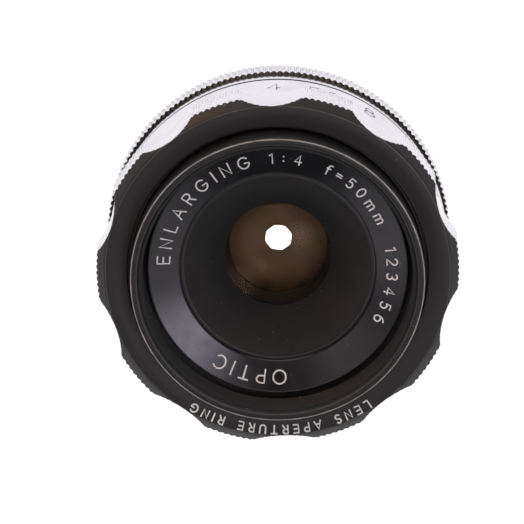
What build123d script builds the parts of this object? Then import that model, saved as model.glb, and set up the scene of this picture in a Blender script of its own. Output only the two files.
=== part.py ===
"""Enlarger lens, 50 mm f/4, with a clicking aperture ring and an eight-blade iris.

Units are millimetres. +Z is the optical axis towards the front of the lens. The origin is on
the axis in the plane of the flange seat, where the lens seats on the enlarger's lens board.
Azimuths are in degrees about +Z from +X. The numbers of the aperture scale face -Y.
"""

from build123d import *
from math import asin, cos, degrees, radians, sin, sqrt
import os

# Clearances
turn_clearance = 0.05      # radial, between a turning ring and what it turns on
thread_clearance = 0.05    # radial, between screwed parts, whose threads are drawn as cylinders
seat_clearance = 0.02      # between parts that are clamped together
gap_clearance = 0.30       # run-out of the groove below the filter thread

# Mount: M39 x 26 tpi thread, drawn at its major diameter
spigot_radius = 19.5
spigot_bore_radius = 17.6
spigot_length = 4.5
spigot_chamfer = 0.4
flange_overhang = 0.45     # of the flange past the index ring
flange_height = 3.3
flange_step = 0.58
flange_chamfer = 0.25
web_bottom = -0.9          # web inside the spigot, which the screws clamp to the barrel
web_thickness = 1.5
web_hole_radius = 13.5
mount_screw_least_circle = 15.6
mount_screw_radius = 0.95
mount_screw_head_gap = 0.1  # between the screw heads and the spigot's bore
mount_screw_depth = 4.0    # of thread in the barrel

# Index ring
index_ring_wall = 2.93
index_ring_height = 1.75
index_gap = 0.85           # between the index ring and the aperture ring
index_screw_radius = 0.7

# Aperture ring
scale_wall = 1.6
scale_height = 6.95
grip_overhang = 1.33       # of the grip past the scale band
grip_height = 5.75
grip_chamfer_height = 0.95
ring_face_overhang = 0.2   # of the front face past the scale band
ring_face_gap = 0.45       # between the front face's bore and the barrel
ring_lip_thickness = 1.35
scallop_count = 10
scallop_depth = 1.12
scallop_cutter_radius = 10.7
first_scallop_azimuth = -88.0
sleeve_wall = 1.35
set_screw_radius = 0.8
set_screw_azimuths = (-185.0, -270.0, -355.0)
set_screw_height = 3.2     # above the ring's rear edge

# Barrel
barrel_radius = 18.45
rim_height = 22.2          # of the rim above the flange seat
rim_chamfer = 0.2
rim_wall = 1.2             # around the M34.5 x 0.5 filter thread
filter_lead_in = 0.45
relief_depth = 0.2         # of the groove below the filter thread, where its cutter runs out
name_ring_depth = 6.6      # from the rim to the floor that the name ring sits on
name_ring_step = 0.85      # from the filter thread in to the name ring's edge
name_ring_bore_radius = 12.3
name_ring_outer_thickness = 1.85
name_ring_inner_thickness = 0.9
name_seat_depth = 1.1      # of the recess that centres the name ring
cell_bore_least_radius = 13.2
iris_bore_radius = 12.3
cell_shoulder = 0.2         # least step between the two bores
rear_bore_radius = 10.0

# Iris
first_pivot_azimuth = -18.0
stop_radius = 5.6          # full aperture, f/4
blade_count = 8
pivot_circle = 10.5
blade_clearance = 0.2      # of the open blades outside the stop
blade_outer_radius = 8.6
blade_span = 93.0
blade_lead = 5.0
blade_thickness = 0.04
blade_slope = 0.075        # tilt of each blade, so that each lies over the next
blade_slope_azimuth = 147.0
blade_swing = 23.52        # degrees, from full aperture to f/16
drive_azimuth = 35.0       # of the drive stud from the pivot stud
drive_lug_radius = 0.8
pivot_lug_radius = 1.0
stud_radius = 0.35
slot_clearance = 0.07
iris_seat = 2.2            # height of the barrel's shoulder above the flange seat
iris_floor = 0.8
iris_space = 1.5
iris_hole_clearance = 0.3
iris_wall = 0.65
blade_lift = 0.15
rotor_thickness = 0.8
rotor_hole_radius = 6.6
rotor_collar_wall = 1.2
rotor_collar_height = 3.3
iris_ring_thickness = 1.1
iris_ring_gap = 0.7        # between the retaining ring and the front cell
ring_travel = 68.0         # degrees, from f/4 to f/16
stop_count = 5             # f/4, 5.6, 8, 11 and 16
travel_margin = 1.0        # degrees past each end of the scale

# Drive screw and click stop
drive_screw_radius = 0.8
drive_screw_head_radius = 1.4
drive_screw_head = 0.7
drive_screw_azimuth = -230.0
drive_screw_height = 7.2
click_ball_radius = 0.8
click_height = 14.6
click_azimuth = -300.0
click_hole_full_depth = 4.2
click_hole_wall = 0.6      # between the pocket and the cell's bore
spring_wire_radius = 0.13
spring_turns = 5

# Glass: four elements in three groups, with the curvature radius of each face
element_radius = 7.2
front_face_curve = 16.3
front_element_thickness = 2.9
glass_gap = 0.9            # edge spacer's height
second_front_curve = 28.0
second_rear_curve = 15.5
second_thickness = 0.9
second_front_dish = 6.4
second_rear_dish = 5.75
rear_element_radius = 6.2
cement_curve = 16.0
rear_face_curve = 22.0
rear_negative_thickness = 0.9
rear_positive_thickness = 2.9

# Cells that hold the glass
cell_wall = 1.05
cell_lip = 0.4
cell_flange_thickness = 1.3
hood_nose_inset = 0.45
hood_mouth_radius = 11.8
rear_lip = 0.3
rear_lip_radius = 5.9
rear_cell_flange_gap = 0.3  # inside the hole of the mount ring's web
rear_cell_flange_thickness = 1.4
rear_cell_end = -3.0
rear_cell_end_radius = 8.6
rear_ring_height = 1.0
rear_ring_bore_radius = 5.6

# Heights that follow from the values above
barrel_rear = web_bottom + web_thickness
index_ring_rear = flange_height + seat_clearance
index_ring_front = index_ring_rear + index_ring_height
ring_rear = index_ring_front + index_gap
scale_front = ring_rear + scale_height
ring_front = scale_front + grip_height
name_floor = rim_height - name_ring_depth
blade_floor = iris_seat + iris_floor
rotor_rear = blade_floor + iris_space
rotor_front = rotor_rear + rotor_thickness
rotor_top = rotor_front + rotor_collar_height
iris_ring_rear = rotor_top + 2 * turn_clearance
cell_seat = iris_ring_rear + iris_ring_thickness + 2 * turn_clearance
cell_front = cell_seat + cell_flange_thickness

# Radii that follow from the values above
sleeve_bore_radius = barrel_radius + turn_clearance
sleeve_radius = sleeve_bore_radius + sleeve_wall
ring_bore_radius = sleeve_radius + thread_clearance
scale_radius = ring_bore_radius + scale_wall
grip_radius = scale_radius + grip_overhang
ring_face_radius = scale_radius + ring_face_overhang
ring_face_bore_radius = barrel_radius + ring_face_gap
mount_bore_radius = barrel_radius + seat_clearance
index_ring_radius = mount_bore_radius + index_ring_wall
flange_radius = index_ring_radius + flange_overhang
filter_bore_radius = barrel_radius - rim_wall
name_ring_radius = filter_bore_radius - name_ring_step
cell_bore_radius = max(cell_bore_least_radius, iris_bore_radius + cell_shoulder)
click_hole_depth = min(click_hole_full_depth, barrel_radius - cell_bore_radius - click_hole_wall)
rotor_radius = iris_bore_radius - turn_clearance - seat_clearance
mount_screw_circle = max(mount_screw_least_circle, iris_bore_radius + mount_screw_radius + 0.25)
mount_screw_head_radius = spigot_bore_radius - mount_screw_circle - mount_screw_head_gap
rear_cell_flange_radius = web_hole_radius - rear_cell_flange_gap
blade_inner_radius = stop_radius + blade_clearance
iris_hole_radius = stop_radius + iris_hole_clearance
cell_lip_radius = stop_radius


def sag(curve, radius):
    """Depth of a spherical face of the given curvature radius at a distance from its axis."""
    return curve - sqrt(curve**2 - radius**2)


def turned(points):
    """Solid of revolution from a closed outline of (radius, height) points."""
    outline = Polyline(*[(radius, 0, height) for radius, height in points], close=True)
    return revolve(make_face(outline), axis=Axis.Z)


def spun(profile):
    """Solid of revolution from the edges of a closed outline in the XZ plane."""
    return revolve(make_face(profile), axis=Axis.Z)


def ring(inner, outer, rear, front):
    """Plain ring between two radii and two heights."""
    return turned([(inner, rear), (outer, rear), (outer, front), (inner, front)])


def at_azimuth(shape, azimuth):
    return Rot(0, 0, azimuth) * shape


def radial_pin(radius, inner, outer, azimuth, height):
    """Cylinder that lies along a radius, between two distances from the axis."""
    pin = Pos(inner, 0, height) * Rot(0, 90, 0) * Cylinder(
        radius, outer - inner, align=(Align.CENTER, Align.CENTER, Align.MIN)
    )
    return at_azimuth(pin, azimuth)


def sector(inner, outer, thickness, first, last):
    """Part of a thick ring between two azimuths, half above and half below height 0."""
    wedge = Cylinder(
        outer, thickness, arc_size=last - first, align=(Align.NONE, Align.NONE, Align.CENTER)
    )
    return at_azimuth(wedge - Cylinder(inner, 2 * thickness), first)


def upright_pin(radius, rear, front, distance, azimuth):
    """Cylinder parallel to the axis."""
    pin = Pos(distance, 0, rear) * Cylinder(
        radius, front - rear, align=(Align.CENTER, Align.CENTER, Align.MIN)
    )
    return at_azimuth(pin, azimuth)


def hex_socket(across_flats, depth, end, azimuth, height):
    """Hexagonal recess that opens outwards at a distance from the axis."""
    hexagon = extrude(RegularPolygon(across_flats / 2, 6, major_radius=False), depth)
    return at_azimuth(Pos(end - depth, 0, height) * Rot(0, 90, 0) * hexagon, azimuth)


# Optical stack, from the iris outwards
second_rear = rotor_front + 3 * turn_clearance + cell_lip
second_vertex = second_rear + sag(second_rear_curve, second_rear_dish)
second_front_vertex = second_vertex + second_thickness
second_front = second_front_vertex + sag(second_front_curve, second_front_dish)
front_element_rear = second_front + glass_gap
front_vertex = front_element_rear + front_element_thickness
cell_rear = second_rear - cell_lip
cell_bore = element_radius + thread_clearance
cell_radius = cell_bore + cell_wall
iris_ring_bore_radius = cell_radius + iris_ring_gap
hood_nose_radius = element_radius - hood_nose_inset
hood_nose = front_vertex - sag(front_face_curve, hood_nose_radius) + seat_clearance
hood_front = rim_height - name_ring_depth + name_ring_inner_thickness
rear_cell_front = iris_seat - 2 * turn_clearance
rear_negative_front = rear_cell_front - rear_lip
cement_vertex = rear_negative_front - rear_negative_thickness
rear_vertex = cement_vertex - rear_positive_thickness
rear_cell_bore = rear_element_radius + thread_clearance
rear_ring_front = rear_vertex + sag(rear_face_curve, rear_ring_bore_radius) - seat_clearance


def make_barrel():
    """Main barrel: rim and filter bore in front, seats for the cells and the iris behind."""
    barrel = turned([
        (rear_bore_radius, barrel_rear),
        (barrel_radius, barrel_rear),
        (barrel_radius, rim_height - rim_chamfer),
        (barrel_radius - rim_chamfer, rim_height),
        (filter_bore_radius + filter_lead_in, rim_height),
        (filter_bore_radius, rim_height - filter_lead_in),
        (filter_bore_radius, name_floor + name_ring_outer_thickness + gap_clearance),
        (filter_bore_radius + relief_depth, name_floor + name_ring_outer_thickness),
        (filter_bore_radius + relief_depth, name_floor + name_seat_depth),
        (name_ring_radius + seat_clearance, name_floor + name_seat_depth),
        (name_ring_radius + seat_clearance, name_floor),
        (cell_bore_radius, name_floor),
        (cell_bore_radius, cell_seat),
        (iris_bore_radius, cell_seat),
        (iris_bore_radius, iris_seat),
        (rear_bore_radius, iris_seat),
    ])
    slot_half = drive_screw_radius + turn_clearance
    slot_inner = iris_bore_radius - 1
    slot_outer = barrel_radius + 1
    slot_first = drive_screw_azimuth + travel_margin
    slot_last = drive_screw_azimuth - ring_travel - travel_margin
    window = sector(slot_inner, slot_outer, 2 * slot_half, slot_last, slot_first)
    barrel -= Pos(0, 0, drive_screw_height) * window
    for azimuth in (slot_first, slot_last):
        barrel -= radial_pin(slot_half, slot_inner, slot_outer, azimuth, drive_screw_height)
    barrel -= radial_pin(
        click_ball_radius + turn_clearance,
        barrel_radius - click_hole_depth,
        barrel_radius + 1,
        click_azimuth,
        click_height,
    )
    for azimuth in mount_screw_azimuths():
        barrel -= upright_pin(
            mount_screw_radius + thread_clearance,
            barrel_rear - 1,
            barrel_rear + mount_screw_depth + 2 * thread_clearance,
            mount_screw_circle,
            azimuth,
        )
    for azimuth in index_screw_azimuths():
        barrel -= radial_pin(
            index_screw_radius + thread_clearance,
            barrel_radius - 0.4,
            barrel_radius + 1,
            azimuth,
            index_ring_rear + index_ring_height / 2,
        )
    return barrel


def mount_screw_azimuths():
    return [90 + 120 * number for number in range(3)]


def index_screw_azimuths():
    return [30, 90, 150]


def make_mount_ring():
    """Knurled flange and threaded spigot in one piece, with a web that screws to the barrel."""
    mount = turned([
        (web_hole_radius, web_bottom),
        (spigot_bore_radius, web_bottom),
        (spigot_bore_radius, -spigot_length),
        (spigot_radius - spigot_chamfer, -spigot_length),
        (spigot_radius, spigot_chamfer - spigot_length),
        (spigot_radius, 0),
        (flange_radius - flange_chamfer, 0),
        (flange_radius, flange_chamfer),
        (flange_radius, flange_height - flange_chamfer),
        (flange_radius - flange_step, flange_height),
        (mount_bore_radius, flange_height),
        (mount_bore_radius, barrel_rear - seat_clearance),
        (web_hole_radius, barrel_rear - seat_clearance),
    ])
    countersink_depth = mount_screw_head_radius - mount_screw_radius
    for azimuth in mount_screw_azimuths():
        mount -= upright_pin(
            mount_screw_radius + thread_clearance,
            web_bottom - 1,
            barrel_rear + 1,
            mount_screw_circle,
            azimuth,
        )
        countersink = Pos(mount_screw_circle, 0, web_bottom + countersink_depth / 2) * Cone(
            mount_screw_head_radius + thread_clearance,
            mount_screw_radius + thread_clearance,
            countersink_depth,
        )
        mount -= at_azimuth(countersink, azimuth)
    return mount


def make_mount_screws():
    """Three countersunk screws with a driver slot, from the rear."""
    countersink_depth = mount_screw_head_radius - mount_screw_radius
    head_top = web_bottom + countersink_depth
    slot_width = 0.4
    screws = []
    for azimuth in mount_screw_azimuths():
        head = Pos(mount_screw_circle, 0, web_bottom + countersink_depth / 2) * Cone(
            mount_screw_head_radius, mount_screw_radius, countersink_depth
        )
        slot = Pos(mount_screw_circle, 0, web_bottom) * Box(
            2 * mount_screw_head_radius + 1, slot_width, countersink_depth
        )
        shank = upright_pin(
            mount_screw_radius,
            head_top - 0.01,
            barrel_rear + mount_screw_depth,
            mount_screw_circle,
            0,
        )
        screws.append(at_azimuth(head + shank - slot, azimuth))
    return Compound(screws)


def make_index_ring():
    """Smooth ring that carries the index line, set to the top by three grub screws."""
    edge = 0.15
    body = turned([
        (mount_bore_radius, index_ring_rear),
        (index_ring_radius, index_ring_rear),
        (index_ring_radius, index_ring_front - edge),
        (index_ring_radius - edge, index_ring_front),
        (mount_bore_radius, index_ring_front),
    ])
    for azimuth in index_screw_azimuths():
        body -= radial_pin(
            index_screw_radius + thread_clearance,
            barrel_radius - 1,
            index_ring_radius + 1,
            azimuth,
            index_ring_rear + index_ring_height / 2,
        )
    return body


def make_grub_screws(radius, inner, outer, azimuths, height):
    """Grub screws with hexagon sockets that open outwards."""
    screws = []
    for azimuth in azimuths:
        screw = radial_pin(radius, inner, outer, azimuth, height)
        screws.append(screw - hex_socket(radius, 0.8, outer, azimuth, height))
    return Compound(screws)


def make_aperture_ring():
    """Outer ring: plain band for the scale, scalloped grip with a chamfered front edge."""
    body = turned([
        (ring_bore_radius, ring_rear),
        (scale_radius, ring_rear),
        (scale_radius, scale_front),
        (grip_radius, scale_front),
        (grip_radius, ring_front - grip_chamfer_height),
        (ring_face_radius, ring_front),
        (ring_face_bore_radius, ring_front),
        (ring_face_bore_radius, ring_front - ring_lip_thickness),
        (ring_bore_radius, ring_front - ring_lip_thickness),
    ])
    cutter_distance = grip_radius - scallop_depth + scallop_cutter_radius
    for number in range(scallop_count):
        body -= upright_pin(
            scallop_cutter_radius,
            scale_front,
            ring_front + 1,
            cutter_distance,
            first_scallop_azimuth + number * 360 / scallop_count,
        )
    for azimuth in set_screw_azimuths:
        body -= radial_pin(
            set_screw_radius + thread_clearance,
            ring_bore_radius - 1,
            scale_radius + 1,
            azimuth,
            ring_rear + set_screw_height,
        )
    return body


def make_sleeve():
    """Inner ring that turns on the barrel and carries the outer ring and the drive screw."""
    sleeve_rear = ring_rear + seat_clearance
    sleeve_front = ring_front - ring_lip_thickness - seat_clearance
    body = ring(sleeve_bore_radius, sleeve_radius, sleeve_rear, sleeve_front)
    groove_half = click_ball_radius
    groove_radius = barrel_radius + 0.35
    body -= ring(
        sleeve_bore_radius - 1, groove_radius, click_height - groove_half, click_height + groove_half
    )
    notch_radius = click_ball_radius + turn_clearance
    for number in range(stop_count):
        azimuth = click_azimuth + number * ring_travel / (stop_count - 1)
        notch = Pos(groove_radius + 0.2 - notch_radius, 0, click_height) * Sphere(notch_radius)
        body -= at_azimuth(notch, azimuth)
    body -= radial_pin(
        drive_screw_radius + thread_clearance,
        sleeve_bore_radius - 1,
        sleeve_radius + 1,
        drive_screw_azimuth,
        drive_screw_height,
    )
    body -= radial_pin(
        drive_screw_head_radius + thread_clearance,
        sleeve_radius - drive_screw_head - 0.2,
        sleeve_radius + 1,
        drive_screw_azimuth,
        drive_screw_height,
    )
    for azimuth in set_screw_azimuths:
        body -= radial_pin(
            set_screw_radius + thread_clearance,
            sleeve_radius - 0.7,
            sleeve_radius + 1,
            azimuth,
            ring_rear + set_screw_height,
        )
    return body


def make_drive_screw():
    """Cheese-head screw that joins the sleeve to the iris rotor through the barrel's slot."""
    head_end = sleeve_radius - 0.15
    shank_end = rotor_radius - rotor_collar_wall + 0.1
    screw = radial_pin(
        drive_screw_head_radius,
        head_end - drive_screw_head,
        head_end,
        drive_screw_azimuth,
        drive_screw_height,
    )
    screw += radial_pin(
        drive_screw_radius, shank_end, head_end - 0.1, drive_screw_azimuth, drive_screw_height
    )
    driver_slot = Pos(head_end, 0, drive_screw_height) * Box(
        drive_screw_head, 0.4, 2 * drive_screw_head_radius + 1
    )
    return screw - at_azimuth(driver_slot, drive_screw_azimuth)


click_ball_centre = barrel_radius + 0.25 - click_ball_radius


def make_click_ball():
    return at_azimuth(Pos(click_ball_centre, 0, click_height) * Sphere(click_ball_radius), click_azimuth)


def make_click_spring():
    """Compression spring in the barrel's pocket, behind the click ball."""
    coil_radius = click_ball_radius - 2 * spring_wire_radius
    inner = barrel_radius - click_hole_depth + spring_wire_radius + turn_clearance
    outer = click_ball_centre - click_ball_radius * cos(asin(coil_radius / click_ball_radius))
    length = outer - inner - 2 * spring_wire_radius
    turns = min(spring_turns, int(length / (3 * spring_wire_radius)))
    helix = Helix(length / turns, length, coil_radius)
    section = Plane(origin=helix @ 0, z_dir=helix % 0) * Circle(spring_wire_radius)
    spring = sweep(section, path=helix)
    return at_azimuth(Pos(inner, 0, click_height) * Rot(0, 90, 0) * spring, click_azimuth)


def make_name_ring():
    """Engraved ring in front, a shallow cone that falls towards the glass."""
    return turned([
        (name_ring_bore_radius, name_floor + seat_clearance),
        (name_ring_radius, name_floor + seat_clearance),
        (name_ring_radius, name_floor + name_ring_outer_thickness),
        (name_ring_bore_radius, name_floor + name_ring_inner_thickness),
    ])


def make_front_hood():
    """Matt black cone that screws in and holds the front element in its cell."""
    nose_outer = element_radius
    thread_radius = cell_bore_radius - thread_clearance
    neck_radius = name_ring_bore_radius - thread_clearance
    return turned([
        (hood_nose_radius, hood_nose),
        (nose_outer, hood_nose),
        (nose_outer, cell_front + seat_clearance),
        (thread_radius, cell_front + seat_clearance),
        (thread_radius, name_floor),
        (neck_radius, name_floor),
        (neck_radius, hood_front),
        (hood_mouth_radius, hood_front),
    ])


def make_front_cell():
    """Tube that holds the two front elements and their spacer, with a flange on top."""
    return turned([
        (cell_lip_radius, cell_rear),
        (cell_radius, cell_rear),
        (cell_radius, cell_seat + seat_clearance),
        (cell_bore_radius - thread_clearance, cell_seat + seat_clearance),
        (cell_bore_radius - thread_clearance, cell_front),
        (cell_bore, cell_front),
        (cell_bore, second_rear - seat_clearance),
        (cell_lip_radius, second_rear - seat_clearance),
    ])


def face_arc(vertex, curve, radius, direction):
    """Half of a spherical face: an arc from the axis out to the radius.

    The face falls away to the rear when direction is -1 and rises to the front when it is 1.
    """
    middle = radius / 2
    return ThreePointArc(
        (0, 0, vertex),
        (middle, 0, vertex + direction * sag(curve, middle)),
        (radius, 0, vertex + direction * sag(curve, radius)),
    )


def path(*points):
    return Polyline(*[(radius, 0, height) for radius, height in points])


def make_front_element():
    """Positive element: curved in front, flat behind."""
    edge = front_vertex - sag(front_face_curve, element_radius)
    return spun([
        face_arc(front_vertex, front_face_curve, element_radius, -1),
        path((element_radius, edge), (element_radius, front_element_rear),
             (0, front_element_rear), (0, front_vertex)),
    ])


def make_spacer():
    return ring(
        second_front_dish,
        element_radius,
        second_front + seat_clearance / 2,
        front_element_rear - seat_clearance / 2,
    )


def make_second_element():
    """Negative element, hollow on both sides."""
    return spun([
        face_arc(second_front_vertex, second_front_curve, second_front_dish, 1),
        path((second_front_dish, second_front), (element_radius, second_front),
             (element_radius, second_rear), (second_rear_dish, second_rear)),
        face_arc(second_vertex, second_rear_curve, second_rear_dish, -1),
        path((0, second_vertex), (0, second_front_vertex)),
    ])


def make_rear_cell():
    """Cell for the cemented pair, screwed in from the rear."""
    flange_rear = barrel_rear - rear_cell_flange_thickness
    return turned([
        (rear_lip_radius, rear_cell_front),
        (rear_bore_radius - thread_clearance, rear_cell_front),
        (rear_bore_radius - thread_clearance, barrel_rear - seat_clearance),
        (rear_cell_flange_radius, barrel_rear - seat_clearance),
        (rear_cell_flange_radius, flange_rear),
        (rear_cell_end_radius, rear_cell_end),
        (rear_cell_bore, rear_cell_end),
        (rear_cell_bore, rear_negative_front + seat_clearance),
        (rear_lip_radius, rear_negative_front + seat_clearance),
    ])


cement_edge = cement_vertex - sag(cement_curve, rear_element_radius)


def make_rear_negative():
    """Flat in front, hollow behind, where the next element is cemented in."""
    return spun([
        face_arc(cement_vertex, cement_curve, rear_element_radius, -1),
        path((rear_element_radius, cement_edge), (rear_element_radius, rear_negative_front),
             (0, rear_negative_front), (0, cement_vertex)),
    ])


def make_rear_positive():
    """Curved on both sides."""
    rear_edge = rear_vertex + sag(rear_face_curve, rear_element_radius)
    return spun([
        face_arc(cement_vertex, cement_curve, rear_element_radius, -1),
        path((rear_element_radius, cement_edge), (rear_element_radius, rear_edge)),
        face_arc(rear_vertex, rear_face_curve, rear_element_radius, 1),
        path((0, rear_vertex), (0, cement_vertex)),
    ])


def make_rear_ring():
    """Retaining ring behind the cemented pair."""
    return ring(
        rear_ring_bore_radius,
        rear_element_radius,
        rear_ring_front - rear_ring_height,
        rear_ring_front,
    )


def pivot_azimuth(number):
    return first_pivot_azimuth + number * 360 / blade_count


def make_iris_housing():
    """Cup with eight holes for the blades' pivot studs."""
    outer = iris_bore_radius - thread_clearance
    rim = rotor_rear - turn_clearance
    floor_rear = iris_seat + seat_clearance
    body = turned([
        (iris_hole_radius, floor_rear),
        (outer, floor_rear),
        (outer, rim),
        (outer - iris_wall, rim),
        (outer - iris_wall, blade_floor),
        (iris_hole_radius, blade_floor),
    ])
    for number in range(blade_count):
        body -= upright_pin(
            stud_radius + turn_clearance, iris_seat - 1, blade_floor + 1, pivot_circle,
            pivot_azimuth(number)
        )
    return body


def polar(radius, azimuth):
    return Vector(radius * cos(radians(azimuth)), radius * sin(radians(azimuth)), 0)


pivot_point = polar(pivot_circle, 0)
drive_point_open = polar(pivot_circle, drive_azimuth)
blade_ratio = blade_swing / ring_travel    # blade angle per ring angle


def drive_point(blade_angle):
    """Where the first blade's drive stud is, when the blade has swung in by an angle."""
    return pivot_point + (drive_point_open - pivot_point).rotate(Axis.Z, blade_angle)


def cam_point(turn, side=0.0):
    """Point on the rotor's cam slot that the drive stud reaches when the ring has turned back.

    The turn is counted from f/16, and side moves the point across the slot.
    """
    here = drive_point(blade_swing - blade_ratio * turn).rotate(Axis.Z, turn)
    if side == 0.0:
        return here
    step = 0.01
    ahead = drive_point(blade_swing - blade_ratio * (turn + step)).rotate(Axis.Z, turn + step)
    along = (ahead - here).normalized()
    return here + along.rotate(Axis.Z, 90) * side


def make_rotor():
    """Ring with eight cam slots, which swing the blades, and a collar for the drive screw."""
    collar_bore = rotor_radius - rotor_collar_wall
    body = turned([
        (rotor_hole_radius, rotor_rear),
        (rotor_radius, rotor_rear),
        (rotor_radius, rotor_top),
        (collar_bore, rotor_top),
        (collar_bore, rotor_front),
        (rotor_hole_radius, rotor_front),
    ])
    half = stud_radius + slot_clearance
    steps = 12
    first = -travel_margin
    last = ring_travel + travel_margin
    turns = [first + (last - first) * number / steps for number in range(steps + 1)]
    inner_side = Spline(*[cam_point(turn, half) for turn in turns])
    outer_side = Spline(*[cam_point(turn, -half) for turn in turns])
    first_tip = cam_point(first) - (cam_point(first + 0.1) - cam_point(first)).normalized() * half
    last_tip = cam_point(last) + (cam_point(last) - cam_point(last - 0.1)).normalized() * half
    outline = [
        inner_side,
        ThreePointArc(inner_side @ 1, last_tip, outer_side @ 1),
        outer_side,
        ThreePointArc(outer_side @ 0, first_tip, inner_side @ 0),
    ]
    slot = Pos(0, 0, rotor_rear - 1) * extrude(make_face(outline), rotor_thickness + 2, dir=(0, 0, 1))
    for number in range(blade_count):
        body -= at_azimuth(slot, pivot_azimuth(number))
    body -= radial_pin(
        drive_screw_radius + thread_clearance,
        collar_bore - 1,
        rotor_radius + 1,
        drive_screw_azimuth,
        drive_screw_height,
    )
    return body


def make_iris_ring():
    """Retaining ring in front of the rotor."""
    return ring(
        iris_ring_bore_radius,
        iris_bore_radius - thread_clearance,
        iris_ring_rear,
        iris_ring_rear + iris_ring_thickness,
    )


def make_blade():
    """First blade, swung in to f/16, with its two riveted studs.

    Each blade is flat and tilted, so that it lies over the next one all the way round.
    """
    outline = sector(blade_inner_radius, blade_outer_radius, 20, -blade_lead, blade_span)
    lug_root = (blade_inner_radius + blade_outer_radius) / 2
    for azimuth, lug in ((0, pivot_lug_radius), (drive_azimuth, drive_lug_radius)):
        arm = Pos((lug_root + pivot_circle) / 2, 0, 0) * Box(pivot_circle - lug_root, 2 * lug, 20)
        outline += at_azimuth(arm, azimuth)
        outline += upright_pin(lug, -10, 10, pivot_circle, azimuth)
    height = blade_floor + blade_lift
    outline = Pos(0, 0, height) * outline
    slope_direction = polar(1, blade_slope_azimuth)
    normal = Vector(-blade_slope * slope_direction.X, -blade_slope * slope_direction.Y, 1)
    tilted = Plane(origin=pivot_point + Vector(0, 0, height), z_dir=normal)
    sheet = tilted * Box(60, 60, blade_thickness)
    blade = outline & sheet
    blade += upright_pin(stud_radius, iris_seat + 0.1, height, pivot_circle, 0)
    drive_offset = drive_point_open - pivot_point
    drive_height = height + blade_slope * drive_offset.dot(slope_direction)
    blade += upright_pin(
        stud_radius, drive_height, rotor_front - 0.1, pivot_circle, drive_azimuth
    )
    return Pos(pivot_point) * Rot(0, 0, blade_swing) * Pos(-pivot_point) * blade


def main():
    nodes = {
        "main_barrel": make_barrel(),
        "mount_ring": make_mount_ring(),
        "mount_ring_screws": make_mount_screws(),
        "index_ring": make_index_ring(),
        "index_ring_screws": make_grub_screws(
            index_screw_radius,
            barrel_radius - 0.3,
            index_ring_radius - 0.2,
            index_screw_azimuths(),
            index_ring_rear + index_ring_height / 2,
        ),
        "aperture_ring": make_aperture_ring(),
        "aperture_ring_screws": make_grub_screws(
            set_screw_radius,
            sleeve_radius - 0.6,
            scale_radius - 0.2,
            set_screw_azimuths,
            ring_rear + set_screw_height,
        ),
        "aperture_sleeve": make_sleeve(),
        "drive_screw": make_drive_screw(),
        "click_ball": make_click_ball(),
        "click_spring": make_click_spring(),
        "name_ring": make_name_ring(),
        "front_hood": make_front_hood(),
        "front_cell": make_front_cell(),
        "front_element": make_front_element(),
        "element_spacer": make_spacer(),
        "second_element": make_second_element(),
        "rear_cell": make_rear_cell(),
        "rear_negative_element": make_rear_negative(),
        "rear_positive_element": make_rear_positive(),
        "rear_retaining_ring": make_rear_ring(),
        "iris_housing": make_iris_housing(),
        "iris_rotor": make_rotor(),
        "iris_retaining_ring": make_iris_ring(),
    }
    blade = make_blade()
    for number in range(blade_count):
        nodes[f"iris_blade_{number + 1}"] = at_azimuth(blade, pivot_azimuth(number))
    os.makedirs("parts", exist_ok=True)
    for name, shape in nodes.items():
        export_step(shape, f"parts/{name}.step")
        print(name, round(shape.volume, 2))


main()
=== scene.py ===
import bpy
import bmesh
from math import atan2, cos, degrees, hypot, inf, pi, radians, sin, sqrt, tan
from mathutils import Matrix, Vector


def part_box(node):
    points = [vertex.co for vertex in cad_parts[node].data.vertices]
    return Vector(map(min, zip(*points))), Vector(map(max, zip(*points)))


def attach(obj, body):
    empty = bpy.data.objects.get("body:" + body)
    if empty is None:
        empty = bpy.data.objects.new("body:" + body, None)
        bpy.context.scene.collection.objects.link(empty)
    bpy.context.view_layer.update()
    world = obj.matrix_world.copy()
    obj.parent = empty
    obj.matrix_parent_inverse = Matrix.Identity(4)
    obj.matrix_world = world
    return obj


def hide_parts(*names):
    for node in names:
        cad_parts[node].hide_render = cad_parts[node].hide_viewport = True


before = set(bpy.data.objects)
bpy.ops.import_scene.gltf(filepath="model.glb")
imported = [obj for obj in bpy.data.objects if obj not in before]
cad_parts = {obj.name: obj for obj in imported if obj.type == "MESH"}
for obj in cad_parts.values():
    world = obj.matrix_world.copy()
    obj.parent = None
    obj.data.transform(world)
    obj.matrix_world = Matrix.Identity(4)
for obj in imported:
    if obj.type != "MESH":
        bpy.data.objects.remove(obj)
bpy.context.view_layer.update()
mm = 0.001
print("frame loaded:", len(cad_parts), "nodes")


# helpers: colours, nodes, turned shapes

def hexColour(code):
    parts = [int(code[i:i + 2], 16) / 255 for i in (1, 3, 5)]
    return [p / 12.92 if p <= 0.04045 else ((p + 0.055) / 1.055) ** 2.4 for p in parts] + [1.0]


def addNode(tree, kind, settings=None, links=None, **options):
    node = tree.nodes.new(kind)
    for name, value in options.items():
        setattr(node, name, value)
    for name, value in (settings or {}).items():
        node.inputs[name].default_value = value
    for name, source in (links or {}).items():
        tree.links.new(source, node.inputs[name])
    return node


def startMaterial(name):
    material = bpy.data.materials.new(name)
    material.use_nodes = True
    tree = material.node_tree
    tree.nodes.clear()
    place = addNode(tree, "ShaderNodeTexCoord").outputs["Object"]
    return material, tree, place


def closeMaterial(tree, shader):
    addNode(tree, "ShaderNodeOutputMaterial", links={"Surface": shader.outputs[0]})


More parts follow.
